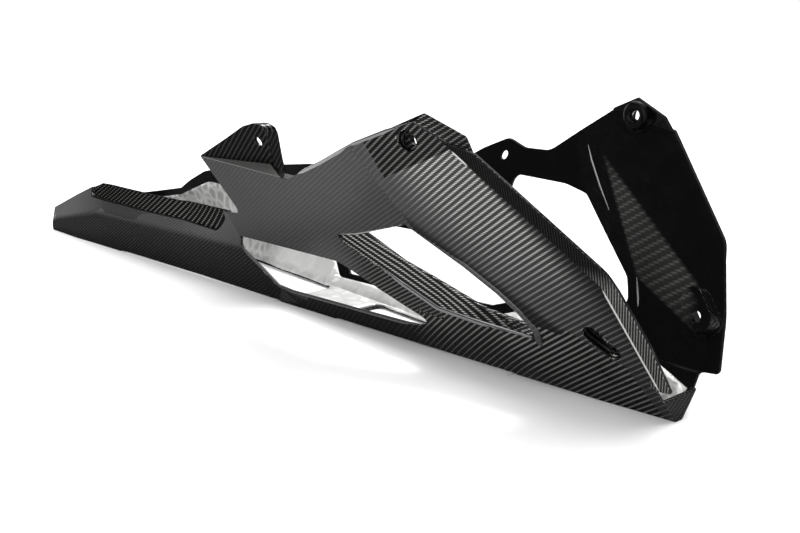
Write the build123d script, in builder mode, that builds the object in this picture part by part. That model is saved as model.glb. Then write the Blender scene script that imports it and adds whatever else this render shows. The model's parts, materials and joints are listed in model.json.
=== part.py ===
from build123d import *
import os
from math import sqrt

# Motorcycle belly pan: one moulded carbon laminate with a foil heat shield stuck inside.
# Millimetres. +X is forward, +Y is the rider's left, +Z is up. The origin is on the floor under the middle.
# Stations are measured aft of the bow, so a station is a distance along -X from bow_x.
# The near side is the rider's right, at -Y. The far side is the rider's left, at +Y.

bow_x = 354.0
wall = 2.4
floor_thick = 2.2
keel = 0.4
foil_thick = 0.8

# Half-width of the straight sides: side_base at the floor, side_lean more for each millimetre of height.
side_base = 26.0
side_lean = 0.52

# Half-width of the front facets, which taper in towards the bow.
bow_base = 13.7
bow_taper = 0.174
bow_lean = 0.4156

# The crease where side and front facet meet leans aft as it rises.
crease_foot = (side_base - bow_base) / bow_taper
crease_slope = (side_lean - bow_lean) / bow_taper

# Front lip, which runs straight ahead from the front facets.
lip_low = (22.6, 22.0)
lip_bend = (49.3, 78.0)
lip_lean = 0.598
lip_aft = 112.0
hull_top = 172.0
hull_front = -14.0

# Bolt holes and the cups that they sit in.
hole_d = 6.0
cup_wall = 2.4
near_boss, far_boss = (112.4, 145.6), (98.0, 149.3)
boss_cup_d, boss_depth, boss_floor, boss_flare = 12.2, 5.0, 4.0, 1.8
near_pocket, far_pocket = (26.0, 44.5), (10.5, 50.0)
pocket_long, pocket_wide, pocket_depth = 23.5, 9.2, 8.0
pocket_turn = 43.0
near_tab_aft, near_tab_z = 264.0, 131.6
far_tab_aft, far_tab_z = 206.5, 114.6

# Floor pieces: nose, cross bar and tail, with two openings between them.
nose_end, bar_front, bar_rear, tail_floor = 105.0, 268.0, 332.0, 575.0
floor_rim = 3.0
floor_relief = 1.2
chin_top = 14.5

tail_end = 716.0
joggle_depth, joggle_tilt = 1.0, 6.0
rim_width = 9.0
reach = 140.0


def side(z):
    """Half-width of the straight side at a height."""
    return side_base + side_lean * z


def front(aft, z):
    """Half-width of the front facet at a station and a height."""
    return bow_base + bow_taper * aft + bow_lean * z


def lip(z):
    """Half-width of the front lip above its bend."""
    return lip_bend[0] + lip_lean * (z - lip_bend[1])


def section(aft, half, inset, lean=0.0):
    """A closed cross-section through four half-profile points, drawn in by an inset."""
    stretch = sqrt(1 + lean * lean)
    (foot, _), (bulge, bulge_z), (chine, chine_z), (top, top_z) = half
    floor = (floor_thick + keel) * inset / wall - keel
    foot = foot + (bulge - foot) / bulge_z * floor - inset
    station = Plane(origin=(bow_x - aft, 0, 0), x_dir=(0, 1, 0), z_dir=(1, 0, lean))
    points = [(foot, floor), (bulge - inset, bulge_z), (chine - inset, chine_z), (top - inset, top_z)]
    right = [(y, z * stretch) for y, z in points]
    left = [(-y, z) for y, z in right]
    with BuildSketch(station) as outline:
        with BuildLine():
            Line(left[0], right[0])
            ThreePointArc(right[0], right[1], right[2])
            Line(right[2], right[3])
            Line(right[3], left[3])
            Line(left[3], left[2])
            ThreePointArc(left[2], left[1], left[0])
        make_face()
    return outline.sketch


def true_planes(solid):
    """The same solid, with each ruled face that is flat made a true plane."""
    faces = [Face(face.outer_wire()) if face.is_planar else face for face in solid.faces()]
    return Solid(Shell(faces))


def front_body(inset):
    """The front body inside the moulded surface, from the notch to ahead of the bow."""
    top = hull_top
    ahead = hull_front
    with BuildPart() as body:
        loft(
            sections=[
                section(342, [(27.0, 0), (37.4, 20), (side(40), 40), (side(top), top)], inset),
                section(
                    crease_foot, [(9.0, 0), (36.5, 26), (side(52), 52), (side(top), top)], inset, crease_slope
                ),
                section(45, [(7.5, 0), (25.5, 24), (front(45, 48), 48), (front(45, top), top)], inset),
                section(
                    ahead, [(1.5, 0), (11.0, 10), (front(ahead, 20), 20), (front(ahead, top), top)], inset
                ),
            ],
            ruled=True,
        )
    return true_planes(body.part)


def tail_body(inset, end=tail_end, tilt=0.0):
    """The tail trough inside the moulded surface, from the notch to the stern; tilt draws its top in further."""
    with BuildPart() as body:
        loft(
            sections=[
                section(342, [(27.0, 0), (37.4, 20), (side(40), 40), (side(104) - tilt, 104)], inset),
                section(440, [(31.5, 0), (40.0, 20), (46.8, 38), (41.9 - tilt, 92)], inset),
                section(600, [(41.5, 0), (44.6, 18), (46.6, 34), (34.0 - tilt, 66)], inset),
                section(665, [(46.0, 0), (46.9, 10), (46.8, 19.5), (39.0, 43)], inset),
                section(end, [(47.0, 0), (47.5, 4.6), (47.2, 8), (43.5, 23.5)], inset),
            ],
            ruled=True,
        )
    return body.part


def hull(inset):
    """The solid inside the moulded surface, drawn in by an inset."""
    with BuildPart() as body:
        add(front_body(inset))
        add(tail_body(inset, tail_end - inset))
    return body.part


def lip_prism(inset):
    """The straight-ahead front of the hull, whose skin becomes the lip."""
    half = [lip_low, lip_bend, (lip(hull_top), hull_top)]
    right = [(y - inset, z) for y, z in half]
    left = [(-y, z) for y, z in reversed(right)]
    with BuildPart() as prism:
        with BuildSketch(Plane.YZ.offset(bow_x - lip_aft)):
            with BuildLine():
                Polyline(*right, *left, close=True)
            make_face()
        extrude(amount=lip_aft - hull_front)
    return prism.part


def side_panel(corners, ends):
    """Side-view region above the floor and under a rounded outline; corners are (aft, height, radius)."""
    first, last = ends
    path = [first, *[(aft, z) for aft, z, _ in corners], last]
    with BuildSketch(Plane.XZ) as region:
        with BuildLine():
            FilletPolyline(*[(bow_x - a, z) for a, z in path], radius=[r for _, _, r in corners])
            Polyline(*[(bow_x - a, z) for a, z in (last, (first[0], last[1]), first)])
        make_face()
    return region.sketch


def side_opening(corners):
    """Side-view opening with rounded corners given as (aft, height, radius)."""
    with BuildSketch(Plane.XZ) as region:
        with BuildLine():
            FilletPolyline(
                *[(bow_x - aft, z) for aft, z, _ in corners], radius=[r for _, _, r in corners], close=True
            )
        make_face()
    return region.sketch


def block(aft_from, aft_to, y_from, y_to, z_from, z_to):
    """A plain block between two stations."""
    with BuildPart() as solid:
        with BuildSketch(Plane.XY.offset(z_from)):
            with Locations((bow_x - (aft_from + aft_to) / 2, (y_from + y_to) / 2)):
                Rectangle(abs(aft_to - aft_from), abs(y_to - y_from))
        extrude(amount=z_to - z_from)
    return solid.part


# Front edge, the same on both sides, from the top corner down to the end of the lip.
front_edge = [
    (104.5, 155.7, 2),
    (86.5, 146, 2),
    (70, 142, 2),
    (12, 87, 16),
    (-2, 50, 60),
    (-8.5, 23, 2),
    (2.5, 22, 2),
]
bow_foot = (0.5, 0)

near_top = [
    (640, 72, 3),
    (627, 57.5, 10),
    (459, 63.3, 60),
    (322, 74, 5),
    (337.5, 115.5, 0.8),
    (236, 110.5, 12),
    (214, 117.5, 25),
    (191, 125.6, 60),
    (142, 144, 80),
]
far_top = [
    (690, 32.5, 30),
    (645, 40.5, 60),
    (598, 49, 15),
    (574, 60, 15),
    (545, 71.5, 30),
    (480, 84, 60),
    (250, 105, 12),
    (228, 118, 14),
    (208, 126.5, 10),
    (190, 121, 14),
    (168, 121, 14),
    (150, 134.5, 40),
    (120, 153, 20),
]
slot = [(350, 43, 5), (340, 53.5, 6), (222, 55.5, 30), (150, 27.5, 3), (168, 21.3, 10), (320, 14.3, 4)]
near_window = [
    (214, 76.5, 3),
    (186, 81, 30),
    (133, 95.8, 4),
    (99, 77.5, 40),
    (74, 57.5, 20),
    (64.5, 46, 3),
    (64.5, 38, 2),
    (137, 41, 25),
]
far_window = [
    (190, 103.3, 5),
    (145, 101.8, 40),
    (125, 97.5, 8),
    (99, 77.5, 40),
    (72, 57, 10),
    (66.5, 46, 3),
    (66.5, 38, 2),
    (137, 41, 25),
    (190, 66, 5),
]

with BuildPart() as near_panel:
    with BuildSketch(Plane.XZ):
        add(side_panel(near_top + front_edge, [(735, 72), bow_foot]))
        add(side_opening(slot), mode=Mode.SUBTRACT)
        add(side_opening(near_window), mode=Mode.SUBTRACT)
    extrude(amount=reach)

with BuildPart() as far_panel:
    with BuildSketch(Plane.XZ):
        add(side_panel(far_top + front_edge, [(735, 24), bow_foot]))
        add(side_opening(slot), mode=Mode.SUBTRACT)
        add(side_opening(far_window), mode=Mode.SUBTRACT)
    extrude(amount=-reach)

with BuildPart() as skin:
    add(hull(0))
    add(lip_prism(0))
    add(hull(wall), mode=Mode.SUBTRACT)
    add(lip_prism(wall), mode=Mode.SUBTRACT)

with BuildPart() as near_half:
    add(skin.part)
    add(near_panel.part, mode=Mode.INTERSECT)

with BuildPart() as far_half:
    add(skin.part)
    add(far_panel.part, mode=Mode.INTERSECT)


def half_width(aft, z):
    """Half-width of the moulded surface above the chine."""
    return min(side(z), front(aft, z))


def near_point(aft, half, z):
    """A point on the near side from its station, half-width and height."""
    return Vector(bow_x - aft, -half, z)


# The turned-in strip round the top front corner starts inside the wall's edge and runs from the top edge,
# round the corner and down to the lip.
strip_sink = Vector(0, 0.8, -1.0)
strip_inward = Vector(-0.45, 0.72, -0.5).normalized() * wall
strip_rear = near_point(104.5, half_width(104.5, 155.7), 155.7) + strip_sink
strip_front = near_point(86.5, half_width(86.5, 146), 146) + strip_sink
strip_low = near_point(72, lip(142.4), 142.4) + strip_sink
strip_top = near_point(101, 91.5, 160.3)
strip_end = near_point(76.5, 85.8, 150)
strip_taper = Vector(0, 1.0, 2.2)


def strip_section(foot, edge):
    """Cross-section of the corner strip from its foot in the wall to its outer edge."""
    station = Plane(origin=foot, x_dir=edge - foot, z_dir=(edge - foot).cross(strip_inward))
    corners = [station.to_local_coords(at) for at in (foot, edge, edge + strip_inward, foot + strip_inward)]
    with BuildSketch(station) as outline:
        with BuildLine():
            Polyline(*[(corner.X, corner.Y) for corner in corners], close=True)
        make_face()
    return outline.sketch


def corner_strip(aft, z):
    """The near corner strip, from a point on the top edge to the lip."""
    start = near_point(aft, half_width(aft, z), z) + strip_sink
    with BuildPart() as solid:
        loft(
            sections=[
                strip_section(start, start + strip_taper),
                strip_section(strip_rear, strip_top),
                strip_section(strip_front, strip_end),
                strip_section(strip_low, strip_low + strip_taper),
            ],
            ruled=True,
        )
    return solid.part


def boss(at, grow):
    """The counterbore of a bolt boss on the near side, grown by a wall or left bare."""
    aft, z = at
    backing = boss_floor * grow / cup_wall
    rise = boss_depth + backing + 2
    radius = boss_cup_d / 2 + grow
    floor = Plane.XZ.offset(half_width(aft, z) - boss_depth - backing)
    with BuildPart() as solid:
        for level, ring in ((floor, radius), (floor.offset(rise), radius + boss_flare * backing)):
            with BuildSketch(level):
                with Locations((bow_x - aft, z)):
                    Circle(ring)
        loft(ruled=True)
    return solid.part


def pocket(at, grow):
    """The slot-shaped bolt pocket beside the bow on the near side, grown by a wall or left bare."""
    aft, z = at
    mouth = near_point(aft, front(aft, z), z)
    facet = Plane(origin=mouth, x_dir=(1, bow_taper, 0), z_dir=(bow_taper, -1, -bow_lean))
    with BuildPart() as solid:
        with BuildSketch(facet.offset(-pocket_depth - grow)):
            SlotOverall(pocket_long + 2 * grow, pocket_wide + 2 * grow, rotation=-pocket_turn)
        extrude(amount=pocket_depth + grow + 8)
    return solid.part


def bolt_hole(at):
    """A clearance hole across the pan at a station and height, on the near side."""
    aft, z = at
    with BuildPart() as solid:
        with BuildSketch(Plane.XZ.offset(10)):
            with Locations((bow_x - aft, z)):
                Circle(hole_d / 2)
        extrude(amount=reach)
    return solid.part


def to_far(solid):
    """The same solid on the far side."""
    return mirror(solid, about=Plane.XZ, mode=Mode.PRIVATE)


with BuildPart() as near_cups:
    add(boss(near_boss, cup_wall))
    add(pocket(near_pocket, cup_wall))
    add(front_body(0), mode=Mode.INTERSECT)
    add(near_panel.part, mode=Mode.INTERSECT)

with BuildPart() as far_cups:
    add(to_far(boss(far_boss, cup_wall)))
    add(to_far(pocket(far_pocket, cup_wall)))
    add(front_body(0), mode=Mode.INTERSECT)
    add(far_panel.part, mode=Mode.INTERSECT)

with BuildPart() as cup_cuts:
    add(boss(near_boss, 0))
    add(pocket(near_pocket, 0))
    add(bolt_hole(near_boss))
    add(bolt_hole(near_pocket))
    add(bolt_hole((near_tab_aft, near_tab_z)))
    add(to_far(boss(far_boss, 0)))
    add(to_far(pocket(far_pocket, 0)))
    add(to_far(bolt_hole(far_boss)))
    add(to_far(bolt_hole(far_pocket)))
    add(to_far(bolt_hole((far_tab_aft, far_tab_z))))


def band_section(aft, low, high, depth):
    """Cross-section of the sloped band under a window, from its outer crease to its inner edge."""
    foot = half_width(aft, low) - 1.0
    edge = half_width(aft, high) - depth
    corners = [
        (-foot, low),
        (-edge, high),
        (-(edge - wall), high),
        (-(foot - wall), low - 1.5),
        (-(foot - 0.3), low - 1.5),
    ]
    with BuildSketch(Plane.YZ.offset(bow_x - aft)) as outline:
        with BuildLine():
            Polyline(*corners, close=True)
        make_face()
    return outline.sketch


band_front = [
    band_section(137, 41.3, 59.2, 9),
    band_section(104, 39.8, 48.0, 9),
    band_section(69, 38.3, 42.5, 8),
]
near_band_rear = [
    band_section(212, 75.8, 76.6, 1.0),
    band_section(186, 63.5, 81.5, 7.5),
    band_section(161.7, 52.2, 67.3, 8.5),
]
far_band_rear = [band_section(190.5, 66, 82, 8.5)]

with BuildPart() as near_band:
    loft(sections=near_band_rear + band_front, ruled=True)

with BuildPart() as far_band:
    loft(sections=far_band_rear + band_front, ruled=True)
    mirror(about=Plane.XZ, mode=Mode.REPLACE)

# Near rear tab: a plate that leaves the side wall at the arm's tip and stands further in towards the front.
tab_root = near_point(338, side(115), 115)
tab_drop = 0.12
tab_outline = [
    (338.2, 114.8, 0.5),
    (273, 141, 10),
    (260, 144, 10),
    (249, 143, 5),
    (264, 108.5, 2),
    (320, 112.5, 2),
]
tab_plane = Plane(origin=tab_root, x_dir=(1, tab_drop, 0), z_dir=(tab_drop, -1, -side_lean))
tab_return = 8.0


def slab(plane, depth_from, depth_to):
    """A wide slab between two depths below a plane."""
    with BuildPart() as solid:
        with BuildSketch(plane.offset(-depth_to)):
            Rectangle(400, 400)
        extrude(amount=depth_to - depth_from)
    return solid.part


with BuildPart() as tab_hollow:
    with BuildSketch(Plane.XZ):
        with BuildLine():
            Polyline(
                *[(bow_x - a, z) for a, z in [(345, 90), (345, 115), (273, 138.4), (252.5, 140.5), (271, 90)]],
                close=True,
            )
        make_face()
    extrude(amount=reach)
    add(slab(tab_plane, wall, 30), mode=Mode.INTERSECT)

with BuildPart() as near_tab:
    with BuildSketch(Plane.XZ):
        add(side_opening(tab_outline))
    extrude(amount=reach)
    add(slab(tab_plane, 0, tab_return), mode=Mode.INTERSECT)
    add(tab_hollow.part, mode=Mode.SUBTRACT)

# Ledge that turns in from the arm's top edge to carry the tab.
ledge_aft = (221.0, 337.0)
ledge_low, ledge_high = 100.0, 125.0
with BuildPart() as ledge:
    with BuildSketch(Plane.YZ.offset(bow_x - ledge_aft[1])):
        with BuildLine():
            Polyline(
                (-side(ledge_low), ledge_low),
                (-side(ledge_high), ledge_high),
                (-side(ledge_high) + rim_width + wall, ledge_high),
                (-side(ledge_low) + rim_width + wall, ledge_low),
                close=True,
            )
        make_face()
    extrude(amount=ledge_aft[1] - ledge_aft[0])
    add(near_panel.part, mode=Mode.INTERSECT)
    add(near_panel.part.moved(Location((0, 0, -wall))), mode=Mode.SUBTRACT)

# Joggled strip along the near top edge of the tail, which another panel overlaps. It leans in, and the step
# at its lower edge is as thick as the wall.
def joggle_zone(grow):
    """Side-view region of the joggled strip, grown by the step's thickness or left bare, across the near side."""
    line = [
        (632 + grow, 45 - grow, 6),
        (523, 47 - grow, 60),
        (443, 50 - grow, 60),
        (380 - 0.4 * grow, 51 - grow, 12),
        (352 - grow, 66 - 0.4 * grow, 8),
    ]
    rear, fore = 646 + grow, 346 - grow
    with BuildPart() as zone:
        with BuildSketch(Plane.XZ):
            with BuildLine():
                FilletPolyline(
                    *[(bow_x - a, z) for a, z in [(rear, 80), *[(a, z) for a, z, _ in line], (fore, 90)]],
                    radius=[r for _, _, r in line],
                )
                Polyline((bow_x - fore, 90), (bow_x - rear, 90), (bow_x - rear, 80))
            make_face()
        extrude(amount=reach)
    return zone.part


joggle_end = tail_end - joggle_depth
with BuildPart() as joggle_wall:
    add(tail_body(0))
    add(tail_body(joggle_depth + wall, joggle_end - wall, joggle_tilt), mode=Mode.SUBTRACT)
    add(joggle_zone(wall), mode=Mode.INTERSECT)
    add(near_panel.part, mode=Mode.INTERSECT)

with BuildPart() as joggle_cut:
    add(joggle_zone(0))
    add(tail_body(joggle_depth, joggle_end, joggle_tilt), mode=Mode.SUBTRACT)


def floor_half(aft):
    """Half-width of the floor at a station."""
    stations = [(0, 3.0), (70.7, 9.0), (342, 27.0), (440, 31.5), (600, 41.5), (716, 47.0)]
    for (aft_0, half_0), (aft_1, half_1) in zip(stations, stations[1:]):
        if aft <= aft_1:
            return half_0 + (half_1 - half_0) * (aft - aft_0) / (aft_1 - aft_0)


def floor_opening(aft_from, aft_to, margin, radius):
    """Plan of a floor opening that follows the walls at a margin."""
    near_half_from, near_half_to = floor_half(aft_from) - margin, floor_half(aft_to) - margin
    corners = [
        (bow_x - aft_from, -near_half_from),
        (bow_x - aft_from, near_half_from),
        (bow_x - aft_to, near_half_to),
        (bow_x - aft_to, -near_half_to),
    ]
    with BuildSketch() as region:
        with BuildLine():
            FilletPolyline(*corners, radius=radius, close=True)
        make_face()
    return region.sketch


with BuildPart() as floor_cuts:
    with BuildSketch(Plane.XY.offset(-1)):
        add(floor_opening(nose_end, bar_front, floor_rim, 6))
        add(floor_opening(bar_rear, tail_floor, floor_rim, 8))
    extrude(amount=7)
    add(block(nose_end, bar_front, -60, 60, -1, floor_relief))
    add(block(bar_rear, tail_floor, -60, 60, -1, floor_relief))

# The tail's deck is open, with a narrow rim left along the near side and the stern.
with BuildPart() as deck_cut:
    with BuildSketch(Plane.XY.offset(12)):
        with BuildLine():
            FilletPolyline(
                *[(bow_x - a, y) for a, y in [(560, -27), (620, -29), (703, -34), (703, 34), (560, 32)]],
                radius=[4, 20, 8, 8, 4],
                close=True,
            )
        make_face()
    extrude(amount=80)

with BuildPart() as chin:
    add(front_body(0))
    add(block(0.5, 3.0, -30, 30, 0, chin_top), mode=Mode.INTERSECT)

with BuildPart() as pan_shell:
    add(near_half.part)
    add(joggle_wall.part)
    add(joggle_cut.part, mode=Mode.SUBTRACT)
    add(far_half.part)
    add(chin.part)
    add(deck_cut.part, mode=Mode.SUBTRACT)
    add(corner_strip(158, 137.6))
    add(to_far(corner_strip(122, 151.5)))
    add(near_cups.part)
    add(far_cups.part)
    add(near_band.part)
    add(far_band.part)
    add(ledge.part)
    add(near_tab.part)
    add(cup_cuts.part, mode=Mode.SUBTRACT)
    add(floor_cuts.part, mode=Mode.SUBTRACT)

# Foil heat shield, stuck to the inside of the lower walls and the floor.
near_foil = [
    (60, 30, 30),
    (140, 24, 30),
    (160, 17, 30),
    (330, 10.5, 10),
    (372, 38, 20),
    (622, 41, 12),
    (700, 16, 4),
]
far_foil = [
    (60, 30, 30),
    (140, 24, 30),
    (160, 17, 30),
    (330, 10.5, 10),
    (385, 58, 25),
    (540, 62, 25),
    (600, 42, 25),
    (650, 33, 20),
    (700, 16, 4),
]


def foil_region(corners):
    """Side-view region of the foil under its top line."""
    with BuildSketch(Plane.XZ) as region:
        with BuildLine():
            FilletPolyline(
                *[(bow_x - a, z) for a, z in [(5, 14), *[(a, z) for a, z, _ in corners], (704, 3)]],
                radius=[r for _, _, r in corners],
            )
            Polyline(*[(bow_x - a, z) for a, z in [(704, 3), (704, 1), (5, 1), (5, 14)]])
        make_face()
    return region.sketch


with BuildPart() as foil_zone:
    with BuildSketch(Plane.XZ):
        add(foil_region(near_foil))
    extrude(amount=reach)
    with BuildSketch(Plane.XZ):
        add(foil_region(far_foil))
    extrude(amount=-reach)

with BuildPart() as foil_cuts:
    with BuildSketch(Plane.XY.offset(-1)):
        add(floor_opening(nose_end - 2, bar_front + 2, floor_rim - 1.0, 6))
        add(floor_opening(bar_rear - 2, tail_floor + 2, floor_rim - 1.0, 8))
    extrude(amount=7)

with BuildPart() as heat_shield_liner:
    add(hull(wall))
    add(hull(wall + foil_thick), mode=Mode.SUBTRACT)
    add(foil_zone.part, mode=Mode.INTERSECT)
    add(foil_cuts.part, mode=Mode.SUBTRACT)

pan_shell.part.label = "pan_shell"
heat_shield_liner.part.label = "heat_shield_liner"
os.makedirs("parts", exist_ok=True)
export_step(pan_shell.part, "parts/pan_shell.step")
export_step(heat_shield_liner.part, "parts/heat_shield_liner.step")
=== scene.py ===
"""Looks of a carbon-fibre motorcycle belly pan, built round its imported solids."""

import json
import math

import bpy
from bpy.props import FloatProperty, FloatVectorProperty, PointerProperty
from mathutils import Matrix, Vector

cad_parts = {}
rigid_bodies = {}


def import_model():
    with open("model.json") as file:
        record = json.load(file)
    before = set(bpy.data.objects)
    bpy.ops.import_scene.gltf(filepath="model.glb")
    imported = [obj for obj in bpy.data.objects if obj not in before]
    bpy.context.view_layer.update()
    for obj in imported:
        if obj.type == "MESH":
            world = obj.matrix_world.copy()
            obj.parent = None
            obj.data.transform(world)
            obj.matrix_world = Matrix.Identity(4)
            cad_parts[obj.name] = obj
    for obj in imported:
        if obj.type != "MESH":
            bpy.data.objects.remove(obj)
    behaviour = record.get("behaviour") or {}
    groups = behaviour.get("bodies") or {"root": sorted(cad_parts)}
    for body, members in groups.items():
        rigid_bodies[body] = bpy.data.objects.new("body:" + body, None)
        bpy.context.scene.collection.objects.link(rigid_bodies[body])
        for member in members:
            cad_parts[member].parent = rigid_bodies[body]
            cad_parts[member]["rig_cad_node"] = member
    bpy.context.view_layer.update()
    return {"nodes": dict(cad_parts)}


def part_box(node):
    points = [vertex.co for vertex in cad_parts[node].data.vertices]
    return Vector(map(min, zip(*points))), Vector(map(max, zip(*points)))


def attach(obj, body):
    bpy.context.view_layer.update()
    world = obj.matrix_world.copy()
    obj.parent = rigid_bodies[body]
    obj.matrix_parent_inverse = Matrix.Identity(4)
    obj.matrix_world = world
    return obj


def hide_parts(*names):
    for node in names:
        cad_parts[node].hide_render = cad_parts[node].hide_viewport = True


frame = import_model()

bl_info = {
    "name": "Belly Pan Looks",
    "version": (1, 0, 0),
    "blender": (4, 5, 0),
    "location": "View3D > Sidebar > Belly Pan",
    "description": "Dresses the belly pan's solids in clear-coated twill and crinkled foil",
    "category": "Object",
}

NEAR, FAR = -1.0, 1.0  # the two sides, as signs of y

# Outer planes of the part in metres: half-widths at the foot, how they grow with height and aft, and
# how near to a plane or a crease a face has to lie to belong to it.
BOW = 0.354
SIDE_FOOT, SIDE_LEAN = 0.026, 0.52
FRONT_FOOT, FRONT_TAPER, FRONT_LEAN = 0.0137, 0.174, 0.4156
LIP_BEND, LIP_BEND_Z = 0.0493, 0.078
LIP_LEAN_TOP, LIP_LEAN_FOOT = 0.598, 0.477
PLANE_MATCH = 0.0004
CREASE_MATCH = 0.0006

# Places on the part in metres, as x, as z or as lines of (x, z).
NOTCH = BOW - 0.342  # x
BOW_FACE = BOW - 0.02  # x
TAB_FORE = BOW - 0.235  # x
FLOOR_TOP = 0.004  # z
WINDOW_TOP = 0.100  # z
JOGGLE_FOOT = (
    (BOW - 0.632, 0.045),
    (BOW - 0.523, 0.047),
    (BOW - 0.443, 0.050),
    (BOW - 0.380, 0.051),
    (BOW - 0.352, 0.066),
)
JOGGLE_REAR_SLANT = 0.4  # run aft over height of the strip's rear end
JOGGLE_STEP = 0.0002  # from the foot up to the strip
PAD_CORNERS = ((BOW - 0.1428, 0.1434), (BOW - 0.1363, 0.1227), (BOW - 0.0860, 0.1424))
LIP_CREASE_TOP = (
    (BOW - 0.0856, 0.1420),
    (BOW - 0.0841, 0.1406),
    (BOW - 0.0795, 0.1361),
    (BOW - 0.0780, 0.1347),
)
LIP_CREASE_FOOT = (
    (BOW - 0.0185, 0.0780),
    (BOW - 0.0169, 0.0735),
    (BOW - 0.0002, 0.0265),
    (BOW + 0.0014, 0.0220),
)
ARM_TOP = (
    (BOW - 0.222, 0.1152),
    (BOW - 0.214, 0.1178),
    (BOW - 0.191, 0.1257),
    (BOW - 0.165, 0.1354),
    (BOW - 0.150, 0.1410),
    (BOW - 0.125, 0.1493),
    (BOW - 0.107, 0.1549),
)
SLOT_FOOT = (
    (BOW - 0.3485, 0.0445),
    (BOW - 0.3450, 0.0382),
    (BOW - 0.3220, 0.0160),
    (BOW - 0.3050, 0.0148),
    (BOW - 0.1800, 0.0207),
    (BOW - 0.1620, 0.0238),
)
LEDGE_CORNERS = (  # corners of the web under the near tab, (x, y, z)
    (BOW - 0.335, -0.0860, 0.11535),
    (BOW - 0.243, -0.0836, 0.11085),
    (BOW - 0.262, -0.0776, 0.11630),
)
BAND_FOOT = (
    (BOW - 0.186, 0.0635),
    (BOW - 0.1617, 0.0522),
    (BOW - 0.137, 0.0413),
    (BOW - 0.104, 0.0398),
    (BOW - 0.069, 0.0383),
)
WINDOW_HEAD = ((BOW - 0.208, 0.0775), (BOW - 0.186, 0.0814), (BOW - 0.138, 0.0946))
WINDOW_FRONT = (
    (BOW - 0.1330, 0.0950),
    (BOW - 0.0995, 0.0772),
    (BOW - 0.0825, 0.0643),
    (BOW - 0.0715, 0.0535),
    (BOW - 0.0650, 0.0440),
    (BOW - 0.0648, 0.0372),
    (BOW - 0.0648, 0.0340),
)
FAR_FOLD_TOP = (
    (BOW - 0.1361, 0.1275),
    (BOW - 0.1288, 0.1185),
    (BOW - 0.1153, 0.1046),
    (BOW - 0.1011, 0.0913),
)
FAR_FOLD_FOOT = (
    (BOW - 0.0641, 0.0585),
    (BOW - 0.0610, 0.0527),
    (BOW - 0.0580, 0.0467),
    (BOW - 0.0525, 0.0323),
)
FAR_BOSS = (BOW - 0.098, 0.0846, 0.1493)  # (x, y, z)
TAIL_CREASE = ((0.0356, 0.0420), (0.20, 0.0839))  # fore and rear run, each as z = x * a + b
WINDOW_LINE = (0.545, 0.839, 0.2008)  # the window's front edge, as x * a + z * b = c

# Edges of the satin patch on the inside, each as x + z * a = b.
PATCH_REAR, PATCH_FOOT, PATCH_FORE = (0.875, 0.3415), (2.706, 0.4489), (1.676, 0.4392)

# Runs of x or z in metres over which a look changes.
PATCH_END = (0.345, 0.330)
BAR_REAR, BAR_TOP = (0.13, 0.17), (0.080, 0.068)
SIDE_RUN, TAIL_RUN, STERN_RUN, LOWER_RUN = (0.03, 0.20), (-0.20, -0.06), (-0.35, -0.22), (0.15, 0.23)
TAB_FOOT, TAB_FOOT_SLOPE = (0.1152, 0.1140), 0.027
BOW_STRIP, BOW_STRIP_SLOPE = (BOW - 0.0060, BOW - 0.0050), 0.28
LIP_RUN = (LIP_BEND_Z + 0.012, LIP_BEND_Z - 0.004)
# Runs over which painted shade darkens the foil in the tail, at the bow and on the floor.
FOIL_TAIL_SHADE, FOIL_BOW_SHADE, FOIL_FLOOR_SHADE = (-0.05, -0.10), (0.25, 0.30), (0.010, 0.004)
FOIL_CREASE = (0.02, 0.30)  # in crinkles, from a crinkle's edge
# The painted shade on the front facet lifts over this run from the window's front edge.
WINDOW_FADE = (0.003, 0.009)  # from the window's front edge
BACKDROP_TOP = (0.24, 0.34)  # of the upward part of a direction

# Painted shade darkens the front weave beside the lip over a strip that is wider below: its top, spread
# and least width.
LIP_FADE_TOP, LIP_FADE_SPREAD, LIP_FADE_LEAST = 0.135, 0.075, 0.0002

# Joining distance in metres, and angles between faces that are rounded or smoothed.
WELD = 0.00001
ROUND_OVER = math.radians(28)
SMOOTH_UNDER = math.radians(18)
SMOOTH_FOIL = math.radians(30)
SMOOTH_BEAD = math.radians(50)

# Parts of a face's normal that say which way it looks.
UPRIGHT, LEVEL, FLOOR_LEVEL = 0.8, 0.7, 0.5
INWARD, UNDERNEATH, REARWARD, BOWWARD = -0.25, -0.25, -0.3, 0.6
CLEARLY = 1.5  # how much more one part has to be than another

# Scale, hand and turn of the cloth where it lies otherwise than on the front facets.
LEAN_STRETCH = 1.1  # distance along a leaning wall over height
SIDE_CLOTH = {"scale": 0.85, "turn": -8.0}
LIP_CLOTH = {"scale": 0.55, "turn": 38.0}
BAND_CLOTH = {"scale": 1.25, "hand": -1.0, "turn": -10.0}
JOGGLE_CLOTH = {"scale": 1.7}
INSIDE_CLOTH = {"scale": 2.0}


def length(name, description, default):
    """A length property in metres."""
    return FloatProperty(
        name=name, description=description, default=default, min=0.0, unit="LENGTH", precision=5
    )


def factor(name, description, default):
    """A plain factor property."""
    return FloatProperty(name=name, description=description, default=default, min=0.0)


def colour(name, description, default):
    """A linear colour property."""
    return FloatVectorProperty(
        name=name, description=description, default=default, subtype="COLOR", min=0.0, max=1.0
    )


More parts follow.
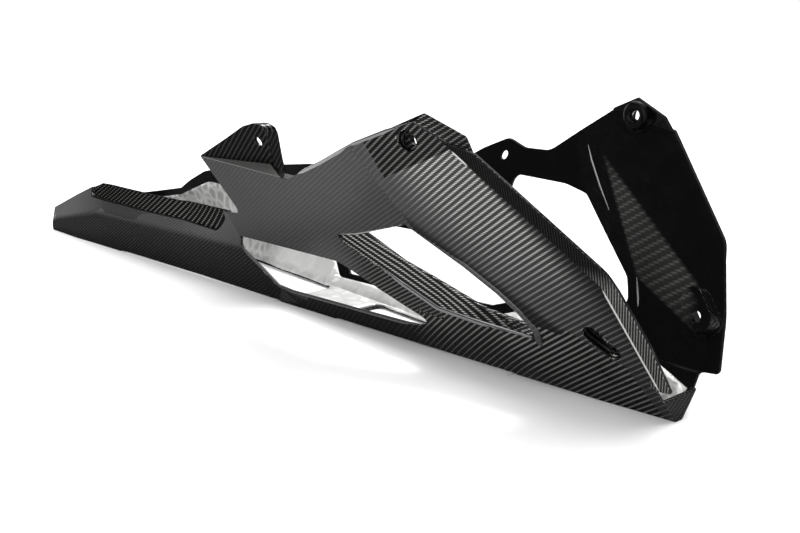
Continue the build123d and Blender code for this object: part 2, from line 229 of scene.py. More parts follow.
class PanShellSettings(bpy.types.PropertyGroup):
    """Cloth, colours and roundings of the shell"""

    warp: length("Warp width", "Width of one upright carbon tow in the twill", 0.00145)
    weft: length("Weft width", "Width of one lengthwise carbon tow in the twill", 0.00082)
    turn: FloatProperty(
        name="Cloth turn",
        description="Turn of the cloth on the mould",
        default=math.radians(7.0),
        unit="ROTATION",
    )
    tow_height: length("Tow height", "Height of a tow's rounded back", 0.00020)
    dark_tow: colour("Warp", "Colour of the tows that look dark", (0.010, 0.010, 0.010))
    # The weft's colour is a painted sheen, standing in for the light that the lengthwise tows reflect.
    light_tow: colour("Weft", "Colour of the tows that catch the light", (0.40, 0.40, 0.385))
    # How far the weave shows on each finish is painted sheen, standing in for where the tows reflect the
    # lights.
    open_sheen: factor("Open weave", "How much of the weave shows on the pad and the rims", 0.25)
    joggle_sheen: factor("Joggle weave", "How much of the weave shows on the joggled strip", 0.40)
    band_sheen: factor("Band weave", "How much of the weave shows on the bands under the windows", 0.60)
    ledge_sheen: factor("Ledge weave", "How much of the weave shows on the ledge under the tab", 0.45)
    tab_sheen: factor("Tab weave", "How much of the weave shows on the rear tab and the bow", 0.10)
    raw: colour("Inside", "Colour of the bare laminate inside", (0.002, 0.002, 0.002))
    edge: length("Edge rounding", "Rounding of the trimmed edges and the far inside folds", 0.0006)
    bead: length("Crease bead", "Radius of the rounded lip crease and window head", 0.0007)
    roll: length("Window roll", "Radius of the rolled front edge of the near window", 0.0022)
    foot: length("Band bead", "Radius of the rounded crease under the window bands", 0.0016)
    rim: length("Arm rim", "Radius of the rounded top edge of the arm and the foot of the slot", 0.0012)
    web: length("Web thickness", "Thickness of the sloped web under the near tab", 0.0008)
    ring: length("Boss ring", "Radius of the ring that closes the far bolt boss", 0.0060)
    ring_tube: length("Boss ring tube", "Radius of the ring's rounded section", 0.0029)


class FoilSettings(bpy.types.PropertyGroup):
    """Colour and crinkles of the heat foil"""

    silver: colour("Foil", "Colour of the heat foil", (0.80, 0.80, 0.79))
    cell: length("Crinkle size", "Distance across one crinkle", 0.011)
    height: length("Crinkle height", "How far the crinkles stand off the wall", 0.0014)
    step: length("Cut step", "Distance between the cuts that give the foil its facets", 0.005)
    start: factor("Cut start", "Share of a step by which the cuts come early", 0.37)


class StageSettings(bpy.types.PropertyGroup):
    """Table, lights and camera"""

    floor: colour("Floor", "Colour of the table", (0.88, 0.88, 0.88))
    table: length("Table", "Length of the table's sides", 12.0)
    backdrop: factor("Backdrop", "Brightness of the white backdrop round the table", 1.05)
    ceiling: factor("Ceiling", "Brightness of the room above the backdrop", 0.10)
    overhead: factor("Overhead light", "Strength of the wide light from above", 3.9)
    front: factor("Front light", "Strength of the wide light from the camera's side", 2.5)
    key: factor("Key light", "Strength of the small light from above and behind", 1.5)
    focal: factor("Focal length", "Focal length in millimetres on a 36 mm frame", 43.4)
    eye: FloatVectorProperty(
        name="Camera",
        description="Place of the camera",
        default=(0.6134, -0.4243, 0.2000),
        subtype="XYZ",
        unit="LENGTH",
    )
    gaze: FloatVectorProperty(
        name="View direction",
        description="Direction in which the camera looks",
        default=(-0.730, 0.641, -0.237),
        subtype="DIRECTION",
    )


class Wire:
    """A node's output socket; arithmetic on it adds Math nodes to the tree."""

    def __init__(self, tree, socket):
        self.tree = tree
        self.socket = socket

    def node(self, kind, settings=None, values=None, output=0):
        """Adds a node, sets it up, links or fills its inputs and gives one of its outputs."""
        made = self.tree.nodes.new(kind)
        for name, value in (settings or {}).items():
            setattr(made, name, value)
        for name, value in (values or {}).items():
            if isinstance(value, Wire):
                self.tree.links.new(value.socket, made.inputs[name])
            else:
                made.inputs[name].default_value = value
        return Wire(self.tree, made.outputs[output])

    def maths(self, operation, *values):
        """A Math node on this socket and the values that follow it."""
        return self.node("ShaderNodeMath", {"operation": operation}, dict(enumerate(values)))

    def __add__(self, other):
        return self.maths("ADD", self, other)

    __radd__ = __add__

    def __sub__(self, other):
        return self.maths("SUBTRACT", self, other)

    def __rsub__(self, other):
        return self.maths("SUBTRACT", other, self)

    def __mul__(self, other):
        return self.maths("MULTIPLY", self, other)

    __rmul__ = __mul__

    def __truediv__(self, other):
        return self.maths("DIVIDE", self, other)

    def __pow__(self, other):
        return self.maths("POWER", self, other)

    def __mod__(self, other):
        return self.maths("FLOORED_MODULO", self, other)

    def __gt__(self, other):
        return self.maths("GREATER_THAN", self, other)

    def __abs__(self):
        return self.maths("ABSOLUTE", self)

    def floor(self):
        return self.maths("FLOOR", self)

    def least(self, other):
        return self.maths("MINIMUM", self, other)

    def most(self, other):
        return self.maths("MAXIMUM", self, other)

    def pick(self, when_one, when_zero):
        """when_one where this is 1 and when_zero where it is 0."""
        return self * when_one + (1 - self) * when_zero

    def ramp(self, start, end, low=0.0, high=1.0):
        """A smooth run from low to high while this goes from start to end."""
        return self.node(
            "ShaderNodeMapRange",
            {"interpolation_type": "SMOOTHSTEP"},
            {"Value": self, "From Min": start, "From Max": end, "To Min": low, "To Max": high},
        )

    def between(self, first, second):
        """A mix of two colours with this as its factor."""
        return self.node(
            "ShaderNodeMix",
            {"data_type": "RGBA"},
            {"Factor": self, 6: first, 7: second},
            output=2,
        )

    def noise(self, scale, detail):
        """A noise texture at this place."""
        return self.node("ShaderNodeTexNoise", values={"Vector": self, "Scale": scale, "Detail": detail})

    def bump(self, strength, distance):
        """A normal that takes this for a height."""
        return self.node(
            "ShaderNodeBump", values={"Strength": strength, "Distance": distance, "Height": self}
        )

    def parts(self):
        """The three numbers of a vector."""
        split = self.tree.nodes.new("ShaderNodeSeparateXYZ")
        self.tree.links.new(self.socket, split.inputs[0])
        return [Wire(self.tree, out) for out in split.outputs]


def new_material(name):
    """A fresh node material with its principled shader and a wire to start from."""
    material = bpy.data.materials.new(name)
    material.use_nodes = True
    tree = material.node_tree
    shader = tree.nodes["Principled BSDF"]
    coordinates = tree.nodes.new("ShaderNodeTexCoord")
    return material, shader, Wire(tree, coordinates.outputs["Object"])


def feed(shader, **wires):
    """Links wires into a shader's sockets; underscores in names stand for spaces."""
    for name, wire in wires.items():
        wire.tree.links.new(wire.socket, shader.inputs[name.replace("_", " ")])


def settle(shader, **values):
    """Sets a shader's sockets to constants; underscores in names stand for spaces."""
    for name, value in values.items():
        shader.inputs[name.replace("_", " ")].default_value = value


def opaque(value, share=1.0):
    """A share of a colour, with its alpha."""
    return (*(part * share for part in value), 1.0)


def on_carbon(tone, settings):
    """The colour between the dark and the light tow at a tone."""
    return tone.between(opaque(settings.dark_tow), opaque(settings.light_tow))


def flat_coordinates(place):
    """Two coordinates along the surface, picked by the way that the face looks."""
    x, y, z = place.parts()
    normal = place.node("ShaderNodeNewGeometry", output="True Normal")
    nx, ny, nz = [abs(part) for part in normal.parts()]
    lying = nz > ny * CLEARLY
    facing = (nx > ny * CLEARLY) * (1 - lying)
    along = facing.pick(y, x)
    up = lying.pick(y, z * LEAN_STRETCH)
    return along, up


def twill(place, settings, scale=1.0, hand=1.0, turn=0.0):
    """Two-by-two twill: 1 where the weft lies on top, and the height of the tow on top."""
    along, up = flat_coordinates(place)
    turn = settings.turn + math.radians(turn)
    sway, lift = math.cos(turn) / scale, math.sin(turn) / scale
    across_warp = (along * sway + up * hand * lift) / settings.warp
    across_weft = (up * hand * sway - along * lift) / settings.weft
    column, row = across_warp.floor(), across_weft.floor()
    a, b = across_warp - column, across_weft - row
    step = (column - row) % 4.0
    weft = step > 1.5
    across = weft.pick(b, a) * 2.0 - 1.0
    run = weft.pick((step - 2.0 + a) / 2.0, (1.0 - step + b) / 2.0) * 2.0 - 1.0
    back = 1.0 - across * across
    crown = 1.0 - run * run
    return weft, back * crown


def twill_material(name, settings, show, coat, **cloth):
    """Clear-coated twill whose weft tone is painted sheen, lightest on each tow's crown; show is how far
    the weft stands out, show and coat may vary with the place.
    """
    material, shader, place = new_material(name)
    weft, height = twill(place, settings, **cloth)
    drift = place.noise(scale=22.0, detail=2.0)
    # Painted sheen: the weft's tone rises on each tow's crown and with show; drift varies it at random.
    tone = weft * (height ** 1.8) * (1.5 + drift * 0.7) * (show(place) if callable(show) else show)
    feed(
        shader,
        Base_Color=on_carbon(tone, settings),
        Roughness=0.42 - weft * 0.08,
        Normal=height.bump(strength=0.4, distance=settings.tow_height),
    )
    if callable(coat):
        feed(shader, Coat_Weight=coat(place))
    else:
        settle(shader, Coat_Weight=coat)
    settle(shader, Metallic=0.95, Specular_Tint=(0.0, 0.0, 0.0, 1.0), Coat_Roughness=0.03)
    return material


def raw_laminate_material(settings):
    """Bare glossy resin inside the pan, lumpy, with the cloth showing through towards the bow."""
    material, shader, place = new_material("bare_inner_laminate")
    x, _, z = place.parts()
    weft, height = twill(place, settings, **INSIDE_CLOTH)
    lumps = place.noise(scale=75.0, detail=4.0)
    patch = place.noise(scale=14.0, detail=1.0)
    past_rear, past_foot, past_fore = [
        x + z * slope - level for slope, level in (PATCH_REAR, PATCH_FOOT, PATCH_FORE)
    ]
    strip = past_rear.ramp(-0.002, 0.002) * past_foot.ramp(-0.003, 0.003) * past_fore.ramp(0.003, -0.003)
    show = strip * x.ramp(*PATCH_END) * (0.6 + patch.ramp(0.4, 0.6) * 0.4)
    tone = (0.25 + weft * height * 0.75) * show * 0.14
    feed(
        shader,
        Base_Color=tone.between(opaque(settings.raw), opaque(settings.light_tow)),
        Roughness=0.16 + lumps * 0.2,
        Normal=(lumps * 0.8 + height * show * 0.3).bump(strength=0.6, distance=0.0012),
    )
    settle(shader, Specular_IOR_Level=0.06)
    return material


def coated_edge_material(name, settings, coat, bright=0.0):
    """Resin-rich rounded edge under a thick clear coat; bright lifts its tone into a painted highlight.
    """
    material, shader, place = new_material(name)
    weft, height = twill(place, settings)
    feed(shader, Base_Color=on_carbon(weft * height * 0.06 + bright, settings))
    settle(shader, Roughness=0.4, Specular_IOR_Level=0.1)
    settle(shader, Coat_Weight=coat, Coat_Roughness=0.05, Coat_IOR=2.0)
    return material


def satin_web_material(settings):
    """Satin laminate of the web under the near tab, with the cloth just showing."""
    material, shader, place = new_material("satin_web")
    weft, height = twill(place, settings)
    feed(shader, Base_Color=on_carbon(0.09 + weft * height * 0.05, settings))
    settle(shader, Roughness=0.5, Specular_IOR_Level=0.3)
    return material


def foil_material(settings):
    """Crinkled silver foil with random dull patches, and painted shade in the tail, on the floor and at
    the bow.
    """
    material, shader, place = new_material("crinkled_foil")
    creases = place.node(
        "ShaderNodeTexVoronoi",
        {"feature": "DISTANCE_TO_EDGE"},
        {"Vector": place, "Scale": 1.0 / settings.cell},
    )
    ripple = place.noise(scale=260.0, detail=5.0)
    dull = place.noise(scale=40.0, detail=3.0)
    x, _, z = place.parts()
    # Painted shade: the foil is darker deep in the tail, on the floor and at the bow, changing across
    # each crinkle.
    rear = x.ramp(*FOIL_TAIL_SHADE) * creases.ramp(*FOIL_CREASE, low=0.4, high=1.0)
    lying = z.ramp(*FOIL_FLOOR_SHADE) * creases.ramp(*FOIL_CREASE, low=1.0, high=0.5)
    bow = x.ramp(*FOIL_BOW_SHADE) * creases.ramp(*FOIL_CREASE, low=1.0, high=0.6)
    dullness_and_shade = dull.ramp(0.42, 0.70) * 0.25 + rear * 0.7 + lying * 0.4 + bow * 0.8
    feed(
        shader,
        Base_Color=dullness_and_shade.between(opaque(settings.silver), opaque(settings.silver, share=0.30)),
        Roughness=0.32 + dull * 0.22,
        Normal=(creases * 0.7 + ripple * 0.5).bump(strength=0.8, distance=0.0012),
    )
    settle(shader, Metallic=0.6)
    return material


def table_material(settings):
    """Plain pale tabletop with a barely uneven tone."""
    material, shader, place = new_material("pale_table")
    cloud = place.noise(scale=1.5, detail=2.0)
    darker = opaque(settings.floor, share=0.9)
    feed(shader, Base_Color=(cloud * 0.03).between(opaque(settings.floor), darker))
    settle(shader, Roughness=0.6, Specular_IOR_Level=0.2)
    return material


def merged_copy(node, name):
    """A copy of a CAD node with its loose triangles joined up, as a new piece."""
    bpy.ops.object.select_all(action="DESELECT")
    source = frame["nodes"][node]
    source.select_set(True)
    bpy.context.view_layer.objects.active = source
    bpy.ops.object.duplicate()
    piece = bpy.context.active_object
    piece.name = piece.data.name = name
    del piece["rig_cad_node"]
    piece.parent = None
    piece.data.materials.clear()
    bpy.ops.object.mode_set(mode="EDIT")
    bpy.ops.mesh.select_all(action="SELECT")
    bpy.ops.mesh.remove_doubles(threshold=WELD)
    bpy.ops.object.mode_set(mode="OBJECT")
    return piece


def join_to(context, piece, part, material):
    """Gives a small part its material and makes it one mesh with a piece."""
    part.data.materials.append(material)
    bpy.ops.object.select_all(action="DESELECT")
    part.select_set(True)
    piece.select_set(True)
    context.view_layer.objects.active = piece
    bpy.ops.object.join()


def looks_inwards(face):
    """Whether a face of the shell or the liner looks into the pan."""
    centre, normal = face.center, face.normal
    to_middle = normal.y * math.copysign(1.0, centre.y)
    on_floor = normal.z > FLOOR_LEVEL and centre.z < FLOOR_TOP
    return to_middle < INWARD or on_floor


def side_half(z):
    """Half-width of the straight sides at a height, as in the part."""
    return SIDE_FOOT + SIDE_LEAN * z


def front_half(x, z):
    """Half-width of the front facets, as in the part."""
    return FRONT_FOOT + FRONT_TAPER * (BOW - x) + FRONT_LEAN * z


def lip_half(z):
    """Half-width of the front lip, as in the part."""
    return LIP_BEND + (LIP_LEAN_TOP if z > LIP_BEND_Z else LIP_LEAN_FOOT) * (z - LIP_BEND_Z)


def on_pad(centre):
    """Whether a place on the near front facet is on the flat pad round the bolt boss."""
    (rear, rear_z), (corner, corner_z), (fore, fore_z) = PAD_CORNERS
    x, z = centre.x - corner, centre.z - corner_z
    before_rear = x * (rear_z - corner_z) - z * (rear - corner) > 0
    above_foot = z * (fore - corner) - x * (fore_z - corner_z) > 0
    return centre.y < 0 and before_rear and above_foot


def on_joggle(centre):
    """Whether a place on the tail is on the joggled strip along the near top edge."""
    rear, rear_z = JOGGLE_FOOT[0]
    if centre.y > 0 or centre.x < rear - (centre.z - rear_z) * JOGGLE_REAR_SLANT:
        return False
    for (x0, z0), (x1, z1) in zip(JOGGLE_FOOT, JOGGLE_FOOT[1:]):
        if centre.x < x1:
            share = max(0.0, (centre.x - x0) / (x1 - x0))
            return centre.z > z0 + share * (z1 - z0) + JOGGLE_STEP
    return False


def finish(face):
    """Name of the finish that a face of the shell gets."""
    centre, normal = face.center, face.normal
    if looks_inwards(face):
        return "inside"
    half = abs(centre.y)
    upright = abs(normal.y) >= UPRIGHT
    if normal.x > BOWWARD and centre.x > BOW_FACE:
        return "bow"
    if centre.x < NOTCH:
        if not upright and normal.x > REARWARD and normal.z > 0:
            return "open"
        return "joggle" if on_joggle(centre) else "tail"
    if not upright:
        if normal.z > LEVEL:
            return "ledge" if centre.y < 0 and centre.x < TAB_FORE else "side"
        return "lower" if normal.z < 0 else "open"
    if abs(half - side_half(centre.z)) < PLANE_MATCH:
        return "side"
    lip, front = lip_half(centre.z), front_half(centre.x, centre.z)
    if abs(half - lip) < PLANE_MATCH and front < lip + CREASE_MATCH:
        return "lip"
    if abs(half - front) < PLANE_MATCH:
        return "open" if on_pad(centre) else "front"
    if centre.z > WINDOW_TOP:
        return "tab" if centre.x < TAB_FORE else "open"
    return "band" if normal.z > UNDERNEATH else "lower"


class BELLYPAN_OT_shell(bpy.types.Operator):
    """Rounds the edges of the moulded shell and gives it its twill and its bare inside"""

    bl_idname = "bellypan.shell"
    bl_label = "Pan Shell"
    bl_options = {"REGISTER", "UNDO"}

    def execute(self, context):
        settings = context.scene.bellypan_shell
        piece = merged_copy("pan_shell", "carbon_pan_shell")
        self.cut_pad(piece)
        self.round_edges(piece, settings)
        finishes = self.make_finishes(settings)
        self.dress(piece, finishes)
        self.add_beads(context, piece, settings)
        self.add_ledge_web(context, piece, settings)
        self.add_boss_ring(context, piece, settings, finishes["inside"])
        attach(piece, "root")
        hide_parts("pan_shell")
        return {"FINISHED"}

    @staticmethod
    def round_edges(piece, settings):
        """Rounds the trimmed edges and the sharper creases, and smooths the rest."""
        rounding = piece.modifiers.new("edge_rounding", "BEVEL")
        rounding.width = settings.edge
        rounding.segments = 2
        rounding.limit_method = "ANGLE"
        rounding.angle_limit = ROUND_OVER
        rounding.use_clamp_overlap = False
        rounding.loop_slide = False
        bpy.ops.object.modifier_apply(modifier=rounding.name)
        bpy.ops.object.shade_smooth_by_angle(angle=SMOOTH_UNDER)

    @classmethod
    def make_finishes(cls, settings):
        # The first column is the painted sheen of the weave on each finish.
        twills = {  # how far the weave shows, the coat, and the cloth where it lies otherwise
            "side": (cls.side_sheen, cls.side_coat, SIDE_CLOTH),
            "tail": (cls.side_sheen, cls.tail_coat, SIDE_CLOTH),
            "joggle": (settings.joggle_sheen, 0.0, JOGGLE_CLOTH),
            "front": (cls.front_sheen, cls.front_coat, {}),
            "lip": (cls.lip_sheen, cls.lip_coat, LIP_CLOTH),
            "lower": (cls.lower_sheen, cls.lower_coat, {}),
            "bow": (settings.tab_sheen, 0.12, {}),
            "band": (settings.band_sheen, 0.05, BAND_CLOTH),
            "ledge": (settings.ledge_sheen, 0.3, {}),
            "tab": (settings.tab_sheen, cls.tab_coat, {}),
            "open": (settings.open_sheen, 0.0, {}),
        }
        finishes = {}
        for name, (show, coat, cloth) in twills.items():
            finishes[name] = twill_material(name + "_twill", settings, show, coat, **cloth)
        finishes["inside"] = raw_laminate_material(settings)
        return finishes

    @classmethod
    def dress(cls, piece, finishes):
        """Gives each face its finish and evens out the shading of the flat faces."""
        names = list(finishes)
        for material in finishes.values():
            piece.data.materials.append(material)
        for face in piece.data.polygons:
            face.material_index = names.index(finish(face))
        cls.sharpen_finish_borders(piece)
        flatten = piece.modifiers.new("flat_faces", "WEIGHTED_NORMAL")
        flatten.keep_sharp = True
        bpy.ops.object.modifier_apply(modifier=flatten.name)

    @classmethod
    def add_beads(cls, context, piece, settings):
        """Lays the rounded creases and rolled edges on the shell."""
        edge = coated_edge_material("coated_edge", settings, coat=1.0)
        dull_edge = coated_edge_material("rolled_edge", settings, coat=0.22)
        # The lip crease and the far inside folds get a lifted tone: painted highlight lines.
        crease = coated_edge_material("painted_highlight_crease", settings, coat=1.0, bright=0.6)
        fold = coated_edge_material("inner_fold_highlight", settings, coat=1.0, bright=0.2)
        both_sides = (  # material, route, radius and how deep its middle lies under the outer wall
            (crease, LIP_CREASE_TOP, settings.bead, 0.0003),
            (crease, LIP_CREASE_FOOT, settings.bead, 0.0003),
            (edge, BAND_FOOT, settings.foot, 0.0014),
        )
        near_side = (
            (dull_edge, WINDOW_FRONT, settings.roll, 0.0014),
            (edge, WINDOW_HEAD, settings.bead, 0.0004),
            (edge, ARM_TOP, settings.rim, 0.0010),
            (dull_edge, SLOT_FOOT, settings.rim, 0.0008),
        )
        far_inside = (
            (fold, FAR_FOLD_TOP, settings.edge, 0.0028),
            (fold, FAR_FOLD_FOOT, settings.edge, 0.0028),
        )
        for hand, beads in (
            (NEAR, both_sides), (FAR, both_sides), (NEAR, near_side), (FAR, far_inside)
        ):
            for material, route, radius, sink in beads:
                cls.add_bead(context, piece, material, route, radius, hand, sink)

    @staticmethod
    def sharpen_finish_borders(piece):
        """Keeps the creases between finishes crisp."""
        mesh = piece.data
        seen = {}
        for face in mesh.polygons:
            for key in face.edge_keys:
                seen.setdefault(key, set()).add(face.material_index)
        for edge in mesh.edges:
            if len(seen.get(edge.key, ())) > 1:
                edge.use_edge_sharp = True

    @staticmethod
    def on_bar(place):
        """1 on the bar between the slot and the window, where the side is seen without a reflection."""
        x, _, z = place.parts()
        return x.ramp(*BAR_REAR) * z.ramp(*BAR_TOP)

    @classmethod
    def side_sheen(cls, place):
        """Painted sheen of the weave: faint on the straight sides, and more on the bar."""
        return 0.11 + cls.on_bar(place) * 0.25

    @classmethod
    def side_coat(cls, place):
        """The clear coat mirrors more towards the front of the sides, and less on the bar."""
        x, _, _ = place.parts()
        return x.ramp(*SIDE_RUN, low=0.25, high=0.43) * (1 - cls.on_bar(place) * 0.8)

    @staticmethod
    def tail_coat(place):
        """The clear coat mirrors more above the tail's crease and towards the stern."""
        x, _, z = place.parts()
        fore_run, rear_run = [x * slope + level for slope, level in TAIL_CREASE]
        upper = (z - fore_run.least(rear_run)).ramp(-0.003, 0.004)
        return x.ramp(*TAIL_RUN, low=0.05, high=0.08) + upper * x.ramp(*STERN_RUN, low=0.66, high=0.25)

    @staticmethod
    def tab_coat(place):
        """The foot of the rear tab mirrors the room as the sides do."""
        x, _, z = place.parts()
        return (z - x * TAB_FOOT_SLOPE).ramp(*TAB_FOOT, low=0.0, high=0.33)

    @staticmethod
    def on_bow_strip(place):
        """1 on the strip of the lower walls along the bow's edge."""
        x, _, z = place.parts()
        return (x + z * BOW_STRIP_SLOPE).ramp(*BOW_STRIP)

    @classmethod
    def lower_sheen(cls, place):
        """Painted sheen of the weave on the lower walls, fading towards the tail and on the bow's strip.
        """
        x, _, _ = place.parts()
        return x.ramp(*LOWER_RUN, low=0.10, high=0.75) * (1 - cls.on_bow_strip(place) * 0.6)

    @classmethod
    def lower_coat(cls, place):
        """The clear coat of the lower walls mirrors more on the bow's strip."""
        return cls.on_bow_strip(place) * 0.17 + 0.08

    @staticmethod
    def front_edge_shade(place):
        """Painted shade on the front facet: 1 in the middle, less towards the lip and the window."""
        x, _, z = place.parts()
        to_lip = front_half(x, z) - (LIP_BEND + (z - LIP_BEND_Z) * LIP_LEAN_TOP)
        width = ((LIP_FADE_TOP - z) * LIP_FADE_SPREAD).most(LIP_FADE_LEAST)
        along, up, level = WINDOW_LINE
        past_window = x * along + z * up - level
        by_lip = (to_lip / width).ramp(0.0, 1.0, low=0.10, high=1.0)
        return by_lip * past_window.ramp(*WINDOW_FADE, low=0.25, high=1.0)

    @classmethod
    def front_sheen(cls, place):
        """Painted sheen of the weave on the front facet, fading towards its edges and the bow."""
        x, _, z = place.parts()
        past_crease = side_half(z) - front_half(x, z)
        by_crease = past_crease.ramp(0.001, 0.009, low=0.08, high=1.0)
        return by_crease * z.ramp(0.06, 0.115, low=0.25, high=1.0) * cls.front_edge_shade(place)

    @classmethod
    def front_coat(cls, place):
        """The clear coat of the front facet mirrors less towards its edges and its foot."""
        _, _, z = place.parts()
        return cls.front_edge_shade(place) * z.ramp(0.05, 0.11, low=0.28, high=0.58)

    @staticmethod
    def lip_sheen(place):
        """Painted sheen of the weave on the lower part of the lip."""
        _, _, z = place.parts()
        return z.ramp(*LIP_RUN, low=0.05, high=0.75)

    @staticmethod
    def lip_coat(place):
        """The clear coat mirrors more on the lower part of the lip."""
        _, _, z = place.parts()
        return z.ramp(*LIP_RUN, low=0.015, high=0.28)

    @staticmethod
    def cut_pad(piece):
        """Cuts the near front facet along the edges of the pad round the bolt boss."""
        bpy.ops.object.mode_set(mode="OBJECT")
        for (x0, z0), (x1, z1) in zip(PAD_CORNERS, PAD_CORNERS[1:]):
            for face in piece.data.polygons:
                near_wall = face.center.y < 0 and face.normal.y < -UPRIGHT
                face.select = near_wall and finish(face) in ("front", "open")
            bpy.ops.object.mode_set(mode="EDIT")
            bpy.ops.mesh.bisect(plane_co=(x0, 0.0, z0), plane_no=(z1 - z0, 0.0, x0 - x1))
            bpy.ops.object.mode_set(mode="OBJECT")

    @staticmethod
    def add_bead(context, piece, material, route, radius, hand, sink):
        """Joins a rounded bead to one side of the shell, sunk by a depth under the outer wall."""
        line = bpy.data.curves.new("bead", "CURVE")
        line.dimensions = "3D"
        line.bevel_depth = radius
        line.bevel_resolution = 3
        line.use_fill_caps = True
        spline = line.splines.new("POLY")
        spline.points.add(len(route) - 1)
        spline.points[0].radius = spline.points[-1].radius = 0.25  # the ends taper off
        on_lip = route in (LIP_CREASE_TOP, LIP_CREASE_FOOT)
        for point, (x, z) in zip(spline.points, route):
            half = max(min(side_half(z), front_half(x, z)), lip_half(z) if on_lip else 0.0)
            point.co = (x, hand * (half - sink), z, 1.0)
        bead = bpy.data.objects.new("bead", line)
        context.scene.collection.objects.link(bead)
        bpy.ops.object.select_all(action="DESELECT")
        bead.select_set(True)
        context.view_layer.objects.active = bead
        bpy.ops.object.convert(target="MESH")
        bpy.ops.object.shade_smooth_by_angle(angle=SMOOTH_BEAD)
        join_to(context, piece, bead, material)

    @staticmethod
    def add_ledge_web(context, piece, settings):
        """Fills the corner between the arm's top edge and the near tab with a thin sloped web."""
        bpy.ops.object.select_all(action="DESELECT")
        bpy.ops.mesh.primitive_circle_add(
            vertices=len(LEDGE_CORNERS), radius=0.01, fill_type="NGON", location=(0.0, 0.0, 0.0)
        )
        web = context.active_object
        for corner, place in zip(web.data.vertices, LEDGE_CORNERS):
            corner.co = place
        bpy.ops.object.mode_set(mode="EDIT")
        bpy.ops.mesh.select_all(action="SELECT")
        bpy.ops.mesh.subdivide(number_cuts=3)
        bpy.ops.object.mode_set(mode="OBJECT")
        wall = web.modifiers.new("wall", "SOLIDIFY")
        wall.thickness = settings.web
        wall.offset = 0.0
        bpy.ops.object.modifier_apply(modifier=wall.name)
        join_to(context, piece, web, satin_web_material(settings))

    @staticmethod
    def add_boss_ring(context, piece, settings, material):
        """Closes the rim of the far bolt boss on its inner side."""
        bpy.ops.object.select_all(action="DESELECT")
        bpy.ops.mesh.primitive_torus_add(
            location=FAR_BOSS,
            rotation=(math.radians(90), 0.0, 0.0),
            major_radius=settings.ring,
            minor_radius=settings.ring_tube,
            major_segments=40,
            minor_segments=12,
        )
        ring = context.active_object
        bpy.ops.object.transform_apply(location=True, rotation=True, scale=True)
        bpy.ops.object.shade_smooth_by_angle(angle=SMOOTH_BEAD)
        join_to(context, piece, ring, material)


class BELLYPAN_OT_foil(bpy.types.Operator):
    """Cuts the heat shield liner into small facets and crinkles its inner face"""

    bl_idname = "bellypan.foil"
    bl_label = "Heat Foil"
    bl_options = {"REGISTER", "UNDO"}

    def execute(self, context):
        settings = context.scene.bellypan_foil
        piece = merged_copy("heat_shield_liner", "crinkled_heat_foil")
        low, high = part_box("heat_shield_liner")
        bpy.ops.object.mode_set(mode="EDIT")
        for axis in range(3):
            normal = [0.0, 0.0, 0.0]
            normal[axis] = 1.0
            count = int((high[axis] - low[axis]) / settings.step)
            for k in range(1, count + 1):
                point = [0.0, 0.0, 0.0]
                point[axis] = low[axis] + (k - settings.start) * settings.step
                bpy.ops.mesh.select_all(action="SELECT")
                bpy.ops.mesh.bisect(plane_co=point, plane_no=normal)
        bpy.ops.mesh.select_all(action="SELECT")
        bpy.ops.mesh.quads_convert_to_tris()
        bpy.ops.object.mode_set(mode="OBJECT")
        inner = piece.vertex_groups.new(name="inner_face")
        facing = set()
        resting = set()
        for face in piece.data.polygons:
            (facing if looks_inwards(face) else resting).update(face.vertices)
        inner.add(sorted(facing - resting), 1.0, "REPLACE")
        folds = (("fold", settings.cell * 2.2, 0.6), ("crinkle", settings.cell * 0.7, 0.4))
        for label, size, share in folds:
            texture = bpy.data.textures.new(label, "CLOUDS")
            texture.noise_scale = size
            texture.noise_depth = 2
            shift = piece.modifiers.new(label, "DISPLACE")
            shift.texture = texture
            shift.texture_coords = "LOCAL"
            shift.vertex_group = inner.name
            shift.mid_level = 0.0
            shift.strength = settings.height * share
            bpy.ops.object.modifier_apply(modifier=label)
        bpy.ops.object.shade_smooth_by_angle(angle=SMOOTH_FOIL)
        piece.data.materials.append(foil_material(settings))
        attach(piece, "root")
        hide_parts("heat_shield_liner")
        return {"FINISHED"}


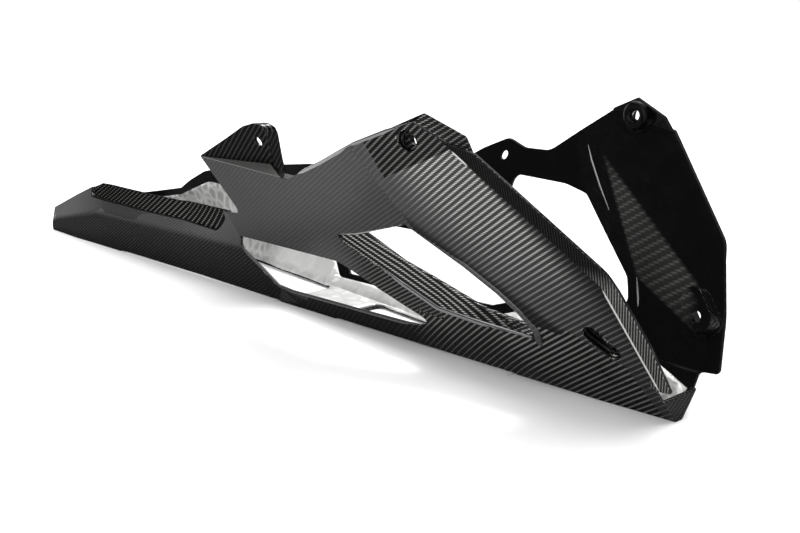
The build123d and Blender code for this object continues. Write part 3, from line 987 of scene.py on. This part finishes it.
class BELLYPAN_OT_stage(bpy.types.Operator):
    """Sets up the pale table, the soft lights and the camera"""

    bl_idname = "bellypan.stage"
    bl_label = "Stage"
    bl_options = {"REGISTER", "UNDO"}

    def execute(self, context):
        settings = context.scene.bellypan_stage
        bpy.ops.object.select_all(action="DESELECT")
        bpy.ops.mesh.primitive_plane_add(size=settings.table, location=(0.0, 0.0, 0.0))
        table = context.active_object
        table.name = "table"
        table.data.materials.append(table_material(settings))

        world = bpy.data.worlds.new("studio_room")
        context.scene.world = world
        world.use_nodes = True
        tree = world.node_tree
        direction = Wire(tree, tree.nodes.new("ShaderNodeTexCoord").outputs["Generated"])
        _, _, up = direction.parts()
        bright = up.ramp(*BACKDROP_TOP, low=settings.backdrop, high=settings.ceiling)
        tree.links.new(bright.socket, tree.nodes["Background"].inputs["Strength"])
        tree.nodes["Background"].inputs["Color"].default_value = (1.0, 1.0, 1.0, 1.0)

        softboxes = (  # name, strength, spread in degrees and direction
            ("overhead_softbox", settings.overhead, 80.0, (0.1, -0.2, -0.97)),
            ("front_softbox", settings.front, 60.0, (-0.45, 0.75, -0.5)),
            ("key_softbox", settings.key, 18.0, (0.25, -0.45, -0.86)),
        )
        for name, strength, spread, shining in softboxes:
            self.softbox(context, name, strength, spread, shining)

        lens = bpy.data.cameras.new("photo_camera")
        camera = bpy.data.objects.new("photo_camera", lens)
        context.scene.collection.objects.link(camera)
        lens.lens = settings.focal
        lens.sensor_width = 36.0
        lens.clip_start = 0.01
        camera.location = settings.eye
        camera.rotation_euler = Vector(settings.gaze).to_track_quat("-Z", "Y").to_euler()
        context.scene.camera = camera
        context.scene.view_settings.view_transform = "Standard"
        return {"FINISHED"}

    @staticmethod
    def softbox(context, name, strength, spread, direction):
        """A distant light that fills an angle, given in degrees, and shines in a direction."""
        lamp = bpy.data.lights.new(name, "SUN")
        lamp.energy = strength
        lamp.angle = math.radians(spread)
        holder = bpy.data.objects.new(name, lamp)
        context.scene.collection.objects.link(holder)
        holder.rotation_euler = Vector(direction).to_track_quat("-Z", "Y").to_euler()


class BELLYPAN_PT_looks(bpy.types.Panel):
    """The belly pan's pieces and their settings"""

    bl_idname = "BELLYPAN_PT_looks"
    bl_label = "Belly Pan"
    bl_space_type = "VIEW_3D"
    bl_region_type = "UI"
    bl_category = "Belly Pan"

    def draw(self, context):
        for operator, name in STEPS:
            settings = getattr(context.scene, name)
            box = self.layout.box()
            box.operator(operator.bl_idname)
            for key in settings.__annotations__:
                box.prop(settings, key)


GROUPS = {
    "bellypan_shell": PanShellSettings,
    "bellypan_foil": FoilSettings,
    "bellypan_stage": StageSettings,
}
STEPS = (
    (BELLYPAN_OT_shell, "bellypan_shell"),
    (BELLYPAN_OT_foil, "bellypan_foil"),
    (BELLYPAN_OT_stage, "bellypan_stage"),
)
CLASSES = (*GROUPS.values(), *(operator for operator, _ in STEPS), BELLYPAN_PT_looks)


def register():
    for made in CLASSES:
        bpy.utils.register_class(made)
    for name, group in GROUPS.items():
        setattr(bpy.types.Scene, name, PointerProperty(type=group))


def unregister():
    for name in GROUPS:
        delattr(bpy.types.Scene, name)
    for made in reversed(CLASSES):
        bpy.utils.unregister_class(made)


def main():
    register()
    bpy.ops.bellypan.shell()
    bpy.ops.bellypan.foil()
    bpy.ops.bellypan.stage()


if __name__ == "__main__":
    main()
